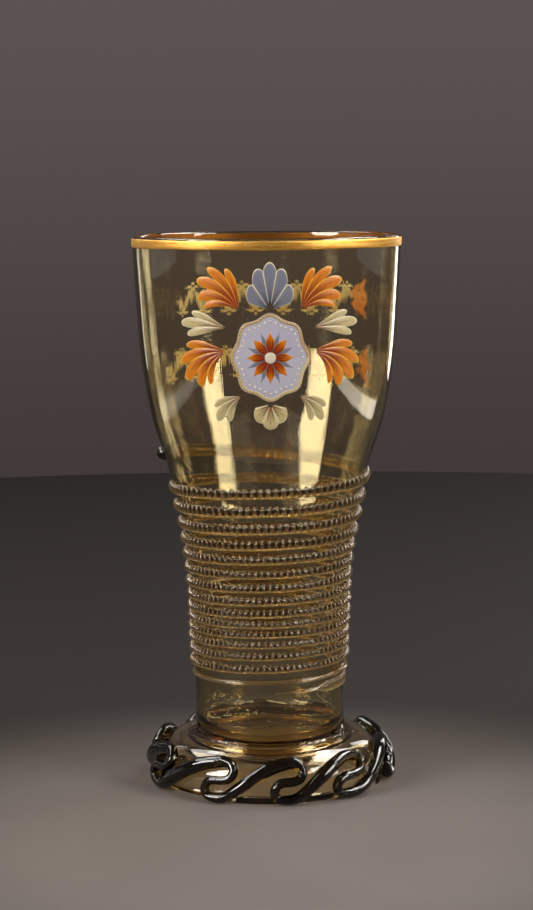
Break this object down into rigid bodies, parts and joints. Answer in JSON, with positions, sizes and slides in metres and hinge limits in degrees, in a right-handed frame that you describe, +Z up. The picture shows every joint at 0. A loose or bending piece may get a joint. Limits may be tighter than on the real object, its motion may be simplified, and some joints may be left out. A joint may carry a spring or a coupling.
{
  "type": "glass beaker",
  "caption": "Tall footed glass beaker with a flared bowl, a milled glass thread wound round its waist, a scroll-trailed foot, a gilt rim and enamel ornament.",
  "frame": {"origin": "on the axis of the cup, at table level, under the middle of the foot", "axes": "+Z up the axis of the cup, -Y towards the ornamented front, +X to the viewer's right"},
  "size_m": [0.0994, 0.0994, 0.2012],
  "materials": {
    "clear_glass": "clear blown glass with a slight brown tint, smooth and fire polished",
    "heavy_glass": "clear blown glass with a brown tint, fire polished",
    "trail_glass": "hot-laid glass thread and trail, brown tinted, glossy",
    "gilding": "fired gold, satin, slightly rubbed",
    "orange_enamel": "fired opaque enamel, orange to red brown, semi-gloss",
    "cream_enamel": "fired opaque enamel, cream to pale yellow, semi-gloss",
    "white_enamel": "fired opaque enamel, cool white, semi-gloss",
    "grey_enamel": "fired opaque enamel, blue grey, semi-gloss"
  },
  "bodies": {
    "root": {"cup": "clear_glass", "foot": "heavy_glass", "milled_thread": "trail_glass", "scroll_trail": "trail_glass", "gilt_rim_band": "gilding", "enamel_medallion": "white_enamel", "enamel_palmette": "grey_enamel", "enamel_pendant": "cream_enamel", "enamel_upper_leaf_right": "orange_enamel", "enamel_upper_leaf_left": "orange_enamel", "enamel_upper_curl_right": "cream_enamel", "enamel_upper_curl_left": "cream_enamel", "enamel_lower_leaf_right": "orange_enamel", "enamel_lower_leaf_left": "orange_enamel", "enamel_lower_tip_right": "cream_enamel", "enamel_lower_tip_left": "cream_enamel", "enamel_vine_upper": "cream_enamel", "enamel_vine_lower": "cream_enamel", "enamel_flourish_upper": "orange_enamel", "enamel_flourish_lower": "orange_enamel"}
  },
  "joints": []
}
